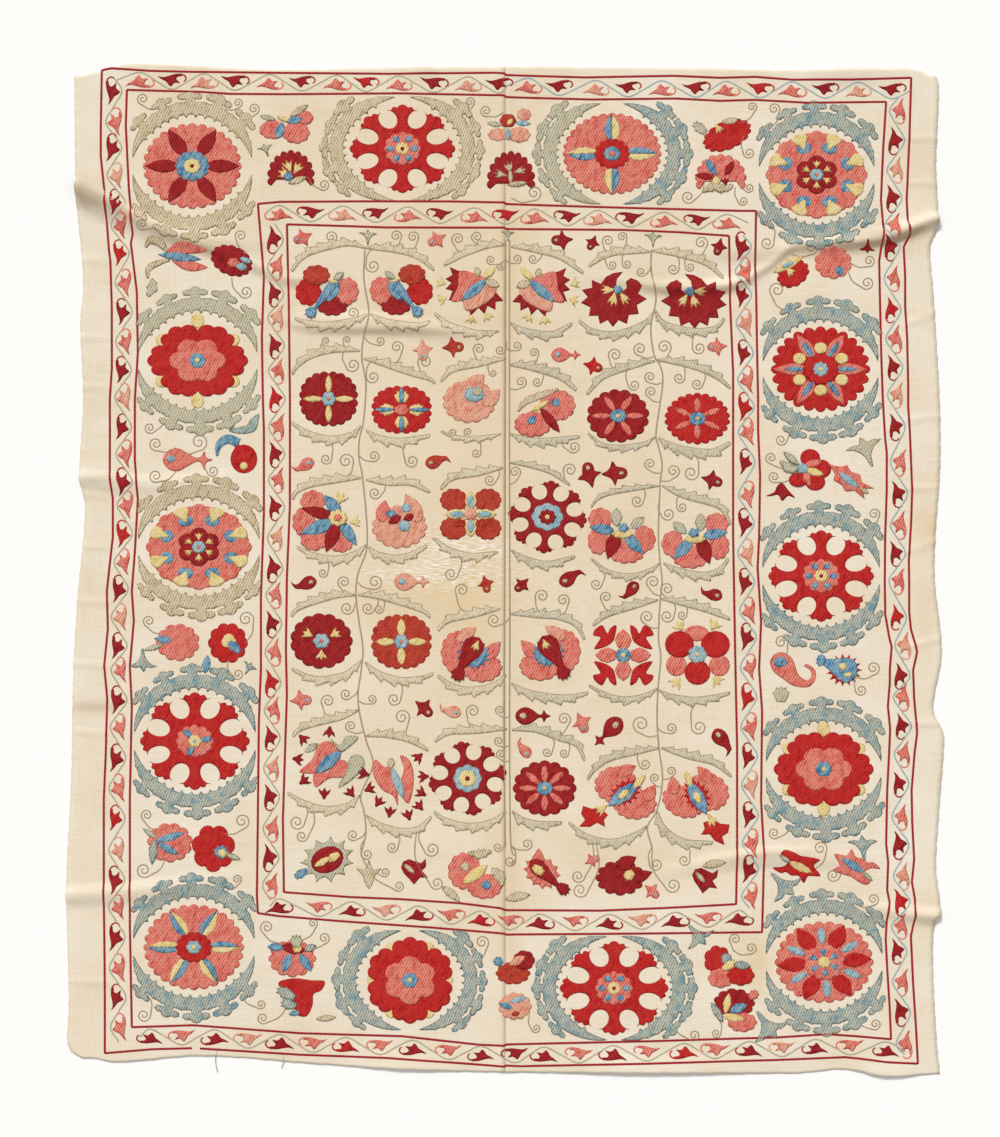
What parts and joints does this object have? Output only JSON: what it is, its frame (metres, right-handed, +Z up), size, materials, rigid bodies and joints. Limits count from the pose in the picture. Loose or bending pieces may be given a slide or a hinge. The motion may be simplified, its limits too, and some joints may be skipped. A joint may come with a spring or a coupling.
{
  "type": "suzani embroidered textile",
  "caption": "Large rectangular cream cotton cover of joined cloth widths, lying flat with soft folds, embroidered with flower medallions, leaf sprigs and vine borders.",
  "frame": {"origin": "on the surface that the cloth lies on, under the middle of its bounding box", "axes": "+X to the right and +Y to the top of the cloth as pictured, +Z up out of its embroidered face"},
  "size_m": [1.5808, 1.8218, 0.0157],
  "materials": {
    "cotton_left": "matt hand-woven cotton, undyed, a little stained",
    "cotton_right": "matt hand-woven cotton, undyed",
    "red_thread": "satin silk thread, couched in close rows",
    "pink_thread": "satin silk thread, couched in close rows",
    "leaf_thread": "satin silk thread, grey-green to blue, couched in close rows"
  },
  "bodies": {
    "root": {"cotton_panel_left": "cotton_left", "cotton_panel_right": "cotton_right"}
  },
  "joints": []
}
